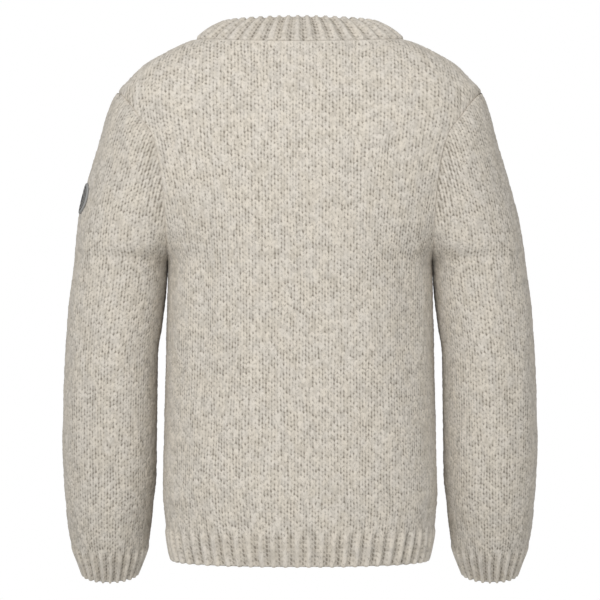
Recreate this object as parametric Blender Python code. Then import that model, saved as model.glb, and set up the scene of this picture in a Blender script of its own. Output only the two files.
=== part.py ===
# Bulky wool pullover, filled out as worn: front, back, two set-in sleeves, ribbed neckband
# and a round sewn-on patch. Every piece is a knitted wall through sections of the garment.
# Metres, +Z up, front towards -Y, the wearer's left towards +X.
# The origin is the middle of the neck opening, level with the top of the shoulders.

import bmesh
import bpy
import numpy as np

# Cloth
WALL = 0.004                    # thick single-yarn knitting
BAND_WALL = 0.005               # neckband
SEAM_GAP = 0.0003
RIB_HEIGHT = 0.0022             # how far a knit rib stands above the purl beside it
RIB_RISE = 0.010                # length over which the ribs rise out of the plain cloth
POINTS_PER_RIB = 4
HEM_RIB_STEP = 0.018            # height of the middle row of points on the hem's ribs
CUFF_RIB_STEP = 0.016           # the same on the cuffs
PLAN_POWER = 2.3                # body sections are slightly squarer than an ellipse

# Heights of the main lines
NECK_Z = 0.0
SHOULDER_Z = -0.069             # where the shoulder seam meets the sleeve
ARMPIT_Z = -0.290
CHEST_Z = -0.360                # level rows below, rows that bend to the armhole above
HEM_RIB_Z = -0.629
HEM_Z = -0.675
CUFF_RIB_Z = -0.653
CUFF_Z = -0.697

# Neckline
NECK_HALF_WIDTH = 0.134
NECK_DROP = {"back": 0.008, "front": 0.088}
NECK_ROUNDING = 1.35
BAND_TOP_HALF_WIDTH = 0.100
BAND_TOP_DEPTH = {"back": 0.050, "front": 0.070}
BAND_TOP_Z = 0.022
BAND_TOP_RISE = {"back": 0.003, "front": -0.070}
BAND_BULGE = 0.003
BAND_LEVELS = (0.18, 0.55, 1.0) # rows of the ribbed band, as shares of its rise

# Forearm: the sleeve bends forward below the elbow
ELBOW_Z = -0.400
ELBOW_BEND = 0.454              # forward offset for each square metre below the elbow

# Mesh counts
PANEL_COLUMNS = 20
HEM_RIBS = 30                   # on each of front and back
LEVEL_ROWS = 8
CHEST_ROWS = 3                  # from the chest line up to the armpit
ARMHOLE_ROWS = 12
SHOULDER_ROWS = 5
SLEEVE_COLUMNS = 2 * ARMHOLE_ROWS
CUFF_RIBS = 24
SLEEVE_LEVEL_ROWS = 9
CAP_ROWS = 10
BAND_RIBS = 40

# Round patch on the outer side of the left upper sleeve
PATCH_RADIUS = 0.020
PATCH_THICKNESS = 0.0016
PATCH_LIFT = 0.0006
PATCH_Z = -0.207
PATCH_TOWARDS_BACK = 0.018
PATCH_SIDES = 32
PATCH_RINGS = 3

# Body sections from the hem up: half the width, and the depth behind and in front.
# Between armpit and shoulder the width runs on under the sleeve.
BODY_COLUMNS = ("z", "half_width", "back", "front")
BODY = (
    (-0.675, 0.1655, 0.1062, 0.1037),
    (-0.663, 0.1690, 0.1090, 0.1065),
    (-0.644, 0.1723, 0.1130, 0.1105),
    (-0.624, 0.1745, 0.1160, 0.1135),
    (-0.585, 0.1775, 0.1195, 0.1175),
    (-0.546, 0.1768, 0.1205, 0.1200),
    (-0.468, 0.1745, 0.1200, 0.1225),
    (-0.390, 0.1730, 0.1195, 0.1235),
    (-0.340, 0.1720, 0.1200, 0.1240),
    (-0.290, 0.1710, 0.1215, 0.1235),
    (-0.265, 0.1845, 0.1225, 0.1220),
    (-0.237, 0.2015, 0.1230, 0.1195),
    (-0.200, 0.2175, 0.1225, 0.1150),
    (-0.165, 0.2260, 0.1200, 0.1085),
    (-0.124, 0.2325, 0.1130, 0.0970),
    (-0.101, 0.2350, 0.1070, 0.0900),
    (-0.069, 0.2350, 0.0970, 0.0810),
    (-0.052, 0.2212, 0.0905, 0.0755),
    (-0.036, 0.2052, 0.0850, 0.0705),
    (-0.020, 0.1797, 0.0785, 0.0655),
    (-0.005, 0.1485, 0.0712, 0.0613),
    (0.000, 0.1340, 0.0690, 0.0600),
)

# Armhole seam, from the armpit up: how far out it lies, and how much the sleeve
# swells behind it.
ARMHOLE_COLUMNS = ("z", "x", "swell")
ARMHOLE = (
    (-0.290, 0.1710, 0.0710),
    (-0.265, 0.1710, 0.0550),
    (-0.237, 0.1715, 0.0345),
    (-0.200, 0.1735, 0.0175),
    (-0.165, 0.1783, 0.0110),
    (-0.124, 0.1896, 0.0080),
    (-0.101, 0.2076, 0.0060),
    (-0.085, 0.2190, 0.0040),
    (-0.069, 0.2350, 0.0000),
)

# Outer side of the sleeve from the cuff to the shoulder
OUTER_COLUMNS = ("z", "x")
OUTER = (
    (-0.697, 0.2845),
    (-0.682, 0.2900),
    (-0.663, 0.2966),
    (-0.643, 0.3013),
    (-0.604, 0.3056),
    (-0.565, 0.3080),
    (-0.526, 0.3086),
    (-0.468, 0.3070),
    (-0.409, 0.3040),
    (-0.351, 0.3005),
    (-0.290, 0.2925),
    (-0.234, 0.2870),
    (-0.195, 0.2785),
    (-0.156, 0.2670),
    (-0.117, 0.2560),
    (-0.091, 0.2475),
    (-0.075, 0.2405),
    (-0.069, 0.2350),
)

# Inner side and half the depth of the sleeve below the armpit
FOREARM_COLUMNS = ("z", "x", "half_depth")
FOREARM = (
    (-0.697, 0.2145, 0.0355),
    (-0.682, 0.2080, 0.0405),
    (-0.663, 0.2008, 0.0465),
    (-0.643, 0.1965, 0.0510),
    (-0.604, 0.1920, 0.0565),
    (-0.565, 0.1877, 0.0595),
    (-0.468, 0.1860, 0.0610),
    (-0.409, 0.1850, 0.0630),
    (-0.370, 0.1795, 0.0650),
    (-0.330, 0.1745, 0.0677),
    (-0.290, 0.1713, 0.0710),
)

# Soft upright troughs where the filled-out cloth slackens. "across" runs along the
# cloth from the middle line, towards the wearer's left.
TROUGH_COLUMNS = ("across", "top", "bottom", "depth", "width")
TROUGHS = {
    "back": (
        (0.124, -0.170, -0.560, 0.0050, 0.019),
        (-0.148, -0.215, -0.510, 0.0040, 0.022),
    ),
    "front": (
        (0.138, -0.230, -0.590, 0.0045, 0.021),
        (-0.120, -0.185, -0.520, 0.0040, 0.020),
    ),
}

SIDE_SIGN = {"back": 1.0, "front": -1.0}
SECTION_STEPS = 121
CURVE_STEPS = 1210
SLOPE_STEP = 0.0005
LEAST_SIZE = 1e-5
OPEN_SEAM = 1.6                 # sum of two unit normals above which a seam isn't folded
FOLD_LEAN = 0.5                 # how far the walls of a folded seam lean down
SHARP_ANGLE = 50

MATERIALS = {
    "body_wool": ((0.604, 0.564, 0.491), 0.95),
    "sleeve_wool": ((0.545, 0.503, 0.434), 0.95),
    "rib_wool": ((0.552, 0.508, 0.445), 0.95),
    "patch_felt": ((0.110, 0.112, 0.118), 0.85),
}


def monotone_curve(table, columns, name):
    """Smooth curve over z through one column, with no overshoot between its rows."""
    rows = sorted(table)
    at = np.array([row[columns.index("z")] for row in rows])
    value = np.array([row[columns.index(name)] for row in rows])
    step = np.diff(at)
    slope = np.diff(value) / step
    tangent = np.concatenate([slope[:1], np.zeros(len(slope) - 1), slope[-1:]])
    turning = slope[:-1] * slope[1:]
    total = np.where(turning > 0, slope[:-1] + slope[1:], 1.0)
    tangent[1:-1] = np.where(turning > 0, 2 * turning / total, 0.0)

    def read(z):
        z = np.clip(z, at[0], at[-1])
        i = np.clip(np.searchsorted(at, z) - 1, 0, len(step) - 1)
        t = (z - at[i]) / step[i]
        start = value[i] * (1 + 2 * t) + tangent[i] * step[i] * t
        end = value[i + 1] * (3 - 2 * t) - tangent[i + 1] * step[i] * (1 - t)
        return start * (1 - t) ** 2 + end * t**2

    return read


body_half_width = monotone_curve(BODY, BODY_COLUMNS, "half_width")
body_depth = {
    "back": monotone_curve(BODY, BODY_COLUMNS, "back"),
    "front": monotone_curve(BODY, BODY_COLUMNS, "front"),
}
armhole_x = monotone_curve(ARMHOLE, ARMHOLE_COLUMNS, "x")
cap_swell = monotone_curve(ARMHOLE, ARMHOLE_COLUMNS, "swell")
sleeve_outer = monotone_curve(OUTER, OUTER_COLUMNS, "x")
forearm_inner = monotone_curve(FOREARM, FOREARM_COLUMNS, "x")
forearm_depth = monotone_curve(FOREARM, FOREARM_COLUMNS, "half_depth")


def unit(vector):
    return vector / np.linalg.norm(vector)


def path_length(points):
    steps = np.linalg.norm(np.diff(points, axis=0), axis=1)
    return np.concatenate([[0.0], np.cumsum(steps)])


# ---- body skin -------------------------------------------------------------------


def body_section(side, z):
    """Quarter section from the middle line to the side: x, y and length along it."""
    turn = np.linspace(0.0, np.pi / 2, SECTION_STEPS)
    x = body_half_width(z) * np.sin(turn) ** (2 / PLAN_POWER)
    y = body_depth[side](z) * np.abs(np.cos(turn)) ** (2 / PLAN_POWER)
    return x, y, path_length(np.column_stack([x, y]))


def body_reach(side, z):
    """Length along the cloth from the middle line to the seam at this height."""
    x, _, along = body_section(side, z)
    if SHOULDER_Z > z > ARMPIT_Z:
        return float(np.interp(armhole_x(z), x, along))
    return float(along[-1])


def body_implicit(side, x, y, z):
    across = abs(x) / body_half_width(z)
    deep = abs(y) / body_depth[side](z)
    return across**PLAN_POWER + deep**PLAN_POWER


def body_normal(side, x, y, z):
    across = abs(x) / body_half_width(z)
    deep = abs(y) / body_depth[side](z)
    above, below = min(z + SLOPE_STEP, NECK_Z), z - SLOPE_STEP
    rise = body_implicit(side, x, y, above) - body_implicit(side, x, y, below)
    return unit(np.array([
        np.sign(x) * across ** (PLAN_POWER - 1) / body_half_width(z),
        SIDE_SIGN[side] * deep ** (PLAN_POWER - 1) / body_depth[side](z),
        rise / (above - below) / PLAN_POWER,
    ]))


def trough_depth(side, across, z):
    """Inward offset from the soft folds at a place on front or back."""
    offset = 0.0
    for row in TROUGHS[side]:
        fold = dict(zip(TROUGH_COLUMNS, row))
        share = (fold["top"] - z) / (fold["top"] - fold["bottom"])
        if 0.0 < share < 1.0:
            fade = np.sin(np.pi * share) ** 2
            offset += fold["depth"] * fade * np.exp(-((across - fold["across"]) / fold["width"]) ** 2)
    return offset


def body_point(side, across, z):
    """Point and outward normal, at a length along the cloth and a height."""
    x, y, along = body_section(side, z)
    reach = abs(across)
    px = float(np.copysign(np.interp(reach, along, x), across))
    py = float(np.interp(reach, along, y)) * SIDE_SIGN[side]
    normal = body_normal(side, px, py, z)
    point = np.array([px, py, z]) - normal * trough_depth(side, across, z)
    return point, normal


# ---- sleeve skin -----------------------------------------------------------------


def seam_depth(side, z):
    """How far behind or in front of the side line the armhole seam lies."""
    share = min(armhole_x(z) / body_half_width(z), 1.0)
    return body_depth[side](z) * (1 - share**PLAN_POWER) ** (1 / PLAN_POWER)


def sleeve_ellipse(side, z):
    """Centre, half width and half depth of the sleeve, and where its arc stops."""
    outer = sleeve_outer(z)
    if z <= ARMPIT_Z:
        inner = forearm_inner(z)
        return (outer + inner) / 2, (outer - inner) / 2, forearm_depth(z), np.pi
    depth, swell, inner = seam_depth(side, z), cap_swell(z), armhole_x(z)
    half_depth = max(np.hypot(depth, swell), LEAST_SIZE)
    past = swell / half_depth
    centre = (inner + past * outer) / (1 + past)
    return centre, max(outer - centre, LEAST_SIZE), half_depth, np.arccos(-min(past, 1.0))


def sleeve_section(side, z):
    """Arc from the outer line round to the seam, or to the inner line of the arm."""
    centre, half_width, half_depth, stop = sleeve_ellipse(side, z)
    turn = np.linspace(0.0, stop, SECTION_STEPS)
    x = centre + half_width * np.cos(turn)
    y = half_depth * np.sin(turn)
    return x, y, path_length(np.column_stack([x, y]))


def sleeve_reach(side, z):
    return float(sleeve_section(side, z)[2][-1])


def sleeve_implicit(side, x, y, z):
    centre, half_width, half_depth, _ = sleeve_ellipse(side, z)
    return ((x - centre) / half_width) ** 2 + (y / half_depth) ** 2


def sleeve_normal(side, x, y, z):
    z = min(z, SHOULDER_Z - 4 * SLOPE_STEP)
    centre, half_width, half_depth, _ = sleeve_ellipse(side, z)
    above, below = z + SLOPE_STEP, z - SLOPE_STEP
    rise = sleeve_implicit(side, x, y, above) - sleeve_implicit(side, x, y, below)
    return unit(np.array([
        2 * (x - centre) / half_width**2,
        2 * y / half_depth**2,
        rise / (above - below),
    ]))


def bend_forward(point, normal):
    """Carries a point of the straight sleeve to the forearm's forward bend."""
    below = max(ELBOW_Z - point[2], 0.0)
    angle = np.arctan(2 * ELBOW_BEND * below)
    cos, sin = np.cos(angle), np.sin(angle)
    x, y, z = point
    nx, ny, nz = normal
    bent = np.array([x, y * cos - ELBOW_BEND * below**2, z - y * sin])
    return bent, np.array([nx, ny * cos + nz * sin, nz * cos - ny * sin])


def sleeve_point(side, across, z):
    """Point and outward normal of the left sleeve; across runs from its outer line."""
    x, y, along = sleeve_section(side, z)
    px = float(np.interp(across, along, x))
    py = float(np.interp(across, along, y)) * SIDE_SIGN[side]
    return bend_forward(np.array([px, py, z]), sleeve_normal(side, px, py, z))


# ---- seams -----------------------------------------------------------------------


def armhole_frames(side):
    """Seam points from the armpit up to the shoulder, evenly spaced. Each has the
    direction its wall leans in, and the direction from body to sleeve."""
    turn = np.linspace(0.0, np.pi, CURVE_STEPS)
    heights = ARMPIT_Z + (SHOULDER_Z - ARMPIT_Z) * (1 - np.cos(turn)) / 2
    curve = np.array([
        (armhole_x(z), SIDE_SIGN[side] * seam_depth(side, z), z) for z in heights
    ])
    length = path_length(curve)
    even = np.linspace(0.0, length[-1], ARMHOLE_ROWS + 1)
    points = np.column_stack([np.interp(even, length, curve[:, i]) for i in range(3)])
    frames = []
    for index, point in enumerate(points):
        both = body_normal(side, *point) + sleeve_normal(side, *point)
        fold = max(OPEN_SEAM - np.linalg.norm(both), 0.0)
        lean = unit(both - np.array([0.0, 0.0, FOLD_LEAN * fold]))
        if index in (0, ARMHOLE_ROWS):
            lean = unit(lean * (1.0, 0.0, 1.0)) if index else np.array([0.0, 0.0, -1.0])
        ahead = points[min(index + 1, ARMHOLE_ROWS)] - points[max(index - 1, 0)]
        if index in (0, ARMHOLE_ROWS):
            ahead = np.array([0.0, SIDE_SIGN[side] * (1.0 if index == 0 else -1.0), 0.0])
        apart = unit(np.cross(ahead, lean))
        apart *= np.sign(apart[0]) or 1.0
        frames.append((point, lean, apart))
    return frames


def shoulder_heights():
    """Heights on the shoulder seam, evenly spaced along it, shoulder to neck."""
    heights = np.linspace(SHOULDER_Z, NECK_Z, CURVE_STEPS)
    length = path_length(np.column_stack([body_half_width(heights), heights]))
    return np.interp(np.linspace(0.0, length[-1], SHOULDER_ROWS + 1), length, heights)


def neckline(side, count):
    """Evenly spaced points of the neck seam, from the right shoulder to the left."""
    turn = np.linspace(np.pi, 0.0, CURVE_STEPS)
    curve = []
    for angle in turn:
        x = NECK_HALF_WIDTH * np.cos(angle)
        z = -NECK_DROP[side] * abs(np.sin(angle)) ** NECK_ROUNDING
        share = min(abs(x) / body_half_width(z), 1.0)
        y = body_depth[side](z) * (1 - share**PLAN_POWER) ** (1 / PLAN_POWER)
        curve.append((x, SIDE_SIGN[side] * y, z))
    return resample(np.array(curve), count)


def resample(curve, count):
    length = path_length(curve)
    even = np.linspace(0.0, length[-1], count + 1)
    return np.column_stack([np.interp(even, length, curve[:, i]) for i in range(3)])


def band_top(side, count):
    """Evenly spaced points of the neckband's free edge, right to left."""
    turn = np.linspace(np.pi, 0.0, CURVE_STEPS)
    sine = np.abs(np.sin(turn))
    x = BAND_TOP_HALF_WIDTH * np.cos(turn)
    y = SIDE_SIGN[side] * BAND_TOP_DEPTH[side] * sine
    z = BAND_TOP_Z + BAND_TOP_RISE[side] * sine**NECK_ROUNDING
    return resample(np.column_stack([x, y, z]), count)


def neck_lean(side, point, up):
    """Direction in which both walls lean at the neck seam."""
    panel = body_normal(side, *point)
    if abs(point[1]) < SEAM_GAP:
        panel = unit(panel * (1.0, 0.0, 1.0))
    outward = unit(np.array([point[0], point[1], 0.0]))
    band = unit(np.cross(np.cross(up, outward), up))
    return unit(panel + band)


# ---- walls -----------------------------------------------------------------------


def add_strip(mesh, one, other):
    """Faces between two rows of vertices. The row with more points fans onto the other."""
    few, many = (one, other) if len(one) <= len(other) else (other, one)
    share = (len(many) - 1) // (len(few) - 1)
    for i in range(len(few) - 1):
        fine = many[i * share : (i + 1) * share + 1]
        if share == 1:
            mesh.faces.new((few[i], few[i + 1], fine[1], fine[0]))
            continue
        middle = share // 2
        mesh.faces.new((few[i], few[i + 1], fine[middle]))
        for k in range(share):
            corner = few[i] if k < middle else few[i + 1]
            mesh.faces.new((corner, fine[k + 1], fine[k]))


def make_object(name, mesh, material):
    bmesh.ops.triangulate(mesh, faces=mesh.faces[:])
    bmesh.ops.recalc_face_normals(mesh, faces=mesh.faces[:])
    data = bpy.data.meshes.new(name)
    mesh.to_mesh(data)
    mesh.free()
    data.shade_smooth()
    data.set_sharp_from_angle(angle=np.radians(SHARP_ANGLE))
    data.materials.append(material)
    obj = bpy.data.objects.new(name, data)
    bpy.context.collection.objects.link(obj)
    return obj


def wall(name, outer_rows, inner_rows, closed, material):
    """Closed wall between two stacks of rows. A closed wall runs round a tube."""
    mesh = bmesh.new()

    def vertices(rows):
        stack = []
        for row in rows:
            ring = [mesh.verts.new(point) for point in row]
            stack.append(ring + ring[:1] if closed else ring)
        return stack

    outer, inner = vertices(outer_rows), vertices(inner_rows)
    for stack in (outer, inner):
        for lower, upper in zip(stack, stack[1:]):
            add_strip(mesh, lower, upper)
    add_strip(mesh, outer[0], inner[0])
    add_strip(mesh, outer[-1], inner[-1])
    if not closed:
        for end in (0, -1):
            add_strip(mesh, [row[end] for row in outer], [row[end] for row in inner])
    return make_object(name, mesh, material)


def rib_lift(index):
    """Height of the outer face at one point across the ribs: purl, knit, knit, purl."""
    return RIB_HEIGHT if index % POINTS_PER_RIB in (1, 2) else 0.0


# ---- front and back --------------------------------------------------------------


def panel_rows(side):
    """Places on one panel as (across, height) rows from the hem up."""
    shares = np.linspace(-1.0, 1.0, PANEL_COLUMNS + 1)
    rows = []
    for z in np.linspace(HEM_RIB_Z, CHEST_Z, LEVEL_ROWS + 1)[:-1]:
        rows.append([(u * body_reach(side, z), z) for u in shares])

    seam_z = list(np.linspace(CHEST_Z, ARMPIT_Z, CHEST_ROWS + 1)[:-1])
    seam_z += [frame[0][2] for frame in armhole_frames(side)[:-1]]
    seam_z += list(shoulder_heights())
    low, high = body_reach(side, CHEST_Z), body_reach(side, NECK_Z)
    neck = []
    for x, _, z in neckline(side, PANEL_COLUMNS):
        section_x, _, along = body_section(side, z)
        neck.append((float(np.copysign(np.interp(abs(x), section_x, along), x)), z))

    for index, z_side in enumerate(seam_z):
        v = index / (len(seam_z) - 1)
        reach = body_reach(side, z_side)
        row = []
        for u, (neck_across, neck_z) in zip(shares, neck):
            across = (1 - v) * u * low + v * neck_across + u * (reach - (1 - v) * low - v * high)
            level = (1 - v) * CHEST_Z + v * neck_z
            row.append((across, level + u * u * (z_side - (1 - v) * CHEST_Z - v * NECK_Z)))
        rows.append(row)
    return rows


def make_panel(side, material):
    shift = np.array([0.0, SIDE_SIGN[side] * SEAM_GAP / 2, 0.0])
    outer_rows, inner_rows = [], []

    for z in (HEM_Z, HEM_Z + HEM_RIB_STEP, HEM_RIB_Z - RIB_RISE):     # ribbed hem, fine rows outside
        reach = body_reach(side, z)
        fine = np.linspace(-reach, reach, HEM_RIBS * POINTS_PER_RIB + 1)
        outer, inner = [], []
        for index, across in enumerate(fine):
            point, normal = body_point(side, across, z)
            outer.append(point + shift + normal * rib_lift(index))
        for across in np.linspace(-reach, reach, PANEL_COLUMNS + 1):
            point, normal = body_point(side, across, z)
            inner.append(point + shift - normal * WALL)
        outer_rows.append(outer)
        inner_rows.append(inner)

    rows = panel_rows(side)
    frames = armhole_frames(side)
    first_armhole = LEVEL_ROWS + CHEST_ROWS
    neck = neckline(side, PANEL_COLUMNS)
    top = band_top(side, PANEL_COLUMNS)
    for row_index, row in enumerate(rows):
        outer, inner = [], []
        for column, (across, z) in enumerate(row):
            point, normal = body_point(side, across, z)
            edge = column in (0, PANEL_COLUMNS)
            seam = row_index - first_armhole
            if edge and 0 <= seam <= ARMHOLE_ROWS:
                mirror = np.array([1.0 if column else -1.0, 1.0, 1.0])
                point, normal, apart = (value * mirror for value in frames[seam])
                point = point - apart * SEAM_GAP / 2
            elif edge:
                normal = unit(normal * (1.0, 0.0, 1.0))
            if row_index == len(rows) - 1:
                point = neck[column]
                normal = neck_lean(side, point, unit(top[column] - point))
            outer.append(point + shift)
            inner.append(point + shift - normal * WALL)
        outer_rows.append(outer)
        inner_rows.append(inner)
    return wall(side, outer_rows, inner_rows, False, material)


# ---- sleeves ---------------------------------------------------------------------


def around_sleeve(count):
    """Columns round the sleeve from its outer line: side of the arm, share of the way."""
    for k in range(count):
        share = 2 * k / count
        yield ("back", share) if share <= 1 else ("front", 2 - share)


def make_sleeve(name, mirror_x, material):
    mirror = np.array([mirror_x, 1.0, 1.0])
    outer_rows, inner_rows = [], []

    for z in (CUFF_Z, CUFF_Z + CUFF_RIB_STEP, CUFF_RIB_Z - RIB_RISE):  # ribbed cuff, fine rows outside
        outer, inner = [], []
        for index, (side, share) in enumerate(around_sleeve(CUFF_RIBS * POINTS_PER_RIB)):
            point, normal = sleeve_point(side, share * sleeve_reach(side, z), z)
            outer.append((point + normal * rib_lift(index)) * mirror)
        for side, share in around_sleeve(SLEEVE_COLUMNS):
            point, normal = sleeve_point(side, share * sleeve_reach(side, z), z)
            inner.append((point - normal * WALL) * mirror)
        outer_rows.append(outer)
        inner_rows.append(inner)

    for z in np.linspace(CUFF_RIB_Z, CHEST_Z, SLEEVE_LEVEL_ROWS + 1):
        outer, inner = [], []
        for side, share in around_sleeve(SLEEVE_COLUMNS):
            point, normal = sleeve_point(side, share * sleeve_reach(side, z), z)
            outer.append(point * mirror)
            inner.append((point - normal * WALL) * mirror)
        outer_rows.append(outer)
        inner_rows.append(inner)

    frames = {side: armhole_frames(side)[::-1] for side in SIDE_SIGN}
    for row in range(1, CAP_ROWS + 1):
        v = row / CAP_ROWS
        outer, inner = [], []
        for side, share in around_sleeve(SLEEVE_COLUMNS):
            index = round(share * ARMHOLE_ROWS)
            seam, lean, apart = frames[side][index]
            z = (1 - v) * CHEST_Z + v * seam[2]
            low = share * sleeve_reach(side, CHEST_Z)
            across = (1 - v) * low + v * sleeve_reach(side, seam[2])
            if index == ARMHOLE_ROWS:
                across = sleeve_reach(side, z)
            if index == 0:
                across = 0.0
            point, normal = sleeve_point(side, across, z)
            if row == CAP_ROWS:
                point, normal = seam + apart * SEAM_GAP / 2, lean
            outer.append(point * mirror)
            inner.append((point - normal * WALL) * mirror)
        outer_rows.append(outer)
        inner_rows.append(inner)
    return wall(name, outer_rows, inner_rows, True, material)


# ---- neckband --------------------------------------------------------------------


def make_neckband(material):
    lower, upper, leans = [], [], []
    for side, order in (("back", 1), ("front", -1)):
        bottom, top = neckline(side, PANEL_COLUMNS), band_top(side, PANEL_COLUMNS)
        lean = [neck_lean(side, p, unit(q - p)) for p, q in zip(bottom, top)]
        lower += list(bottom[::order][:-1])
        upper += list(top[::order][:-1])
        leans += lean[::order][:-1]
    lower, upper, leans = np.array(lower), np.array(upper), np.array(leans)
    rise = upper - lower
    rise /= np.linalg.norm(rise, axis=1)[:, None]
    along = np.roll(upper + lower, -1, axis=0) - np.roll(upper + lower, 1, axis=0)
    outward = np.cross(rise, along)
    outward /= np.linalg.norm(outward, axis=1)[:, None]
    outward *= np.sign(np.sum(outward * lower, axis=1))[:, None]
    lower = lower + rise * SEAM_GAP

    def refine(values, count):
        """The same closed ring with more points, evenly spaced between the given ones."""
        steps = np.arange(count) * len(values) / count
        i = steps.astype(int)
        t = (steps - i)[:, None]
        return values[i] * (1 - t) + np.roll(values, -1, axis=0)[i] * t

    fine = BAND_RIBS * POINTS_PER_RIB
    lift = np.array([rib_lift(index) for index in range(fine)])[:, None]
    fine_lower, fine_upper = refine(lower, fine), refine(upper, fine)
    fine_out = refine(outward, fine)
    outer_rows, inner_rows = [lower], [lower - leans * BAND_WALL]
    for share in BAND_LEVELS:
        bulge = BAND_BULGE * np.sin(np.pi * share)
        level = fine_lower * (1 - share) + fine_upper * share
        outer_rows.append(level + fine_out * (bulge + lift))
        level = lower * (1 - share) + upper * share
        inner_rows.append(level + outward * (bulge - BAND_WALL))
    return wall("neckband", outer_rows, inner_rows, True, material)


# ---- patch -----------------------------------------------------------------------


def make_patch(material):
    mesh = bmesh.new()
    centre, normal = sleeve_point("back", PATCH_TOWARDS_BACK, PATCH_Z)
    layers = []
    for height in (PATCH_LIFT, PATCH_LIFT + PATCH_THICKNESS):
        rings = [[mesh.verts.new(centre + normal * height)]]
        for ring in range(1, PATCH_RINGS + 1):
            radius = PATCH_RADIUS * ring / PATCH_RINGS
            row = []
            for k in range(PATCH_SIDES):
                angle = 2 * np.pi * k / PATCH_SIDES
                across = PATCH_TOWARDS_BACK + radius * np.cos(angle)
                side = "back" if across >= 0 else "front"
                point, out = sleeve_point(side, abs(across), PATCH_Z + radius * np.sin(angle))
                row.append(mesh.verts.new(point + out * height))
            rings.append(row + row[:1])
        for a, b in zip(rings[1], rings[1][1:]):
            mesh.faces.new((rings[0][0], a, b))
        for inside, outside in zip(rings[1:], rings[2:]):
            add_strip(mesh, inside, outside)
        layers.append(rings[-1])
    add_strip(mesh, layers[0], layers[1])
    return make_object("sleeve_patch", mesh, material)


def make_material(name):
    color, roughness = MATERIALS[name]
    material = bpy.data.materials.new(name)
    material.use_nodes = True
    shader = material.node_tree.nodes["Principled BSDF"]
    shader.inputs["Base Color"].default_value = (*color, 1.0)
    shader.inputs["Roughness"].default_value = roughness
    shader.inputs["Metallic"].default_value = 0.0
    return material


def main():
    for obj in list(bpy.data.objects):
        bpy.data.objects.remove(obj, do_unlink=True)
    make_panel("back", make_material("body_wool"))
    make_panel("front", make_material("body_wool"))
    make_sleeve("sleeve_left", 1.0, make_material("sleeve_wool"))
    make_sleeve("sleeve_right", -1.0, make_material("sleeve_wool"))
    make_neckband(make_material("rib_wool"))
    make_patch(make_material("patch_felt"))


main()
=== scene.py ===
# A bulky wool pullover seen from behind, filled out with no wearer. The knitting is laid
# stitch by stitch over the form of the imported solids, and stands for them.
import math

import bmesh
import bpy
import numpy as np
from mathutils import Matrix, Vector


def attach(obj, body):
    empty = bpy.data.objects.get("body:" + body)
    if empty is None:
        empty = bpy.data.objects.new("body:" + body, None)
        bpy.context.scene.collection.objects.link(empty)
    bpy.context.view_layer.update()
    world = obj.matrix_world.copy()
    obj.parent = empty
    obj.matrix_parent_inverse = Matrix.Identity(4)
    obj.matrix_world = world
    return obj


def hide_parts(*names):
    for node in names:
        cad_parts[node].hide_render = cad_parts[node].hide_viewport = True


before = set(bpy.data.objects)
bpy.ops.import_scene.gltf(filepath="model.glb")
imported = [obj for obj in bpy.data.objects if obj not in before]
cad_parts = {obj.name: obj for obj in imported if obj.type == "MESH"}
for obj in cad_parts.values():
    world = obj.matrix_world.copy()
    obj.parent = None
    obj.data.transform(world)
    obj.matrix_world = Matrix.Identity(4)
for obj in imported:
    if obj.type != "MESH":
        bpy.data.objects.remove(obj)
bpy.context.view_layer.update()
print("packed model loaded")

# The yarn. Lengths are metres, wales run up the cloth and courses across.
knit = dict(
    course=0.0058,          # height of one stitch
    waleColumns=4,          # mesh columns in a stitch
    courseRows=3,           # mesh rows in a stitch
    edgeRows=(0.0, 0.06, 0.17),     # mesh rows at a free edge, in stitches
    chevron=0.50,           # how far the arms of a stitch rise, in stitches
    chevronFull=1.5,        # and how many courses from a free edge they do so in full
    puff=0.0027,            # how far a stitch stands out
    wallHeight=0.62,        # the height of a stitch that lies level with the wall
    ribLift=0.0024,         # knit ribs stand this far out of the wall
    ribSink=0.0022,         # and the purl between them lies this far in
    purlShade=0.22,         # and is painted this much darker, as shade in that recess
    ribWiden=-0.10,         # below 0 the purl between the ribs is the wider
    waleDrift=0.20,         # wales wander to either side by up to this, in stitches
    courseDrift=0.42,       # and courses up and down
    thickThin=0.0006,       # the yarn is this much thicker or thinner in places
    # how the three change: times per wale, times per course, and where they start
    waleWander=(0.35, 0.10, 0.0, 5.0),
    courseWander=(0.62, 0.13, 11.0, 0.0),
    thickWander=(0.45, 0.16, 3.0, 0.0),
    ribCalm=0.6,            # the wales of the ribs wander less, by this share
    calmWales=1.5, calmCourses=6,   # nothing wanders at the side seams and the free edge
    scallop=0.0011, scallopOver=0.009,      # ribs hang this far below the purl at a free edge
    wall=0.0040, innerTone=0.7, seamGap=0.00006,
    bakeArea=dict(outside=(0.005, 0.005, 0.600, 0.990), inside=(0.615, 0.005, 0.270, 0.990)),
)

# The height of single stitches, from 0 to about 1
stitch = dict(
    armUneven=0.30, armDip=0.10,    # arms differ, and sink a little beside a hole
    lineDepth=0.17, holeDepth=0.64,         # between two arms, and in the hole where four meet
    holeLeast=0.25, holeSpread=0.30,        # the shallowest hole, and its share all along the line
    purlHeight=0.74, pitDepth=0.90, pitLeast=0.30, pitSpread=0.25,
    ribHeight=1.02, ribLine=0.30,
)

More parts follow.
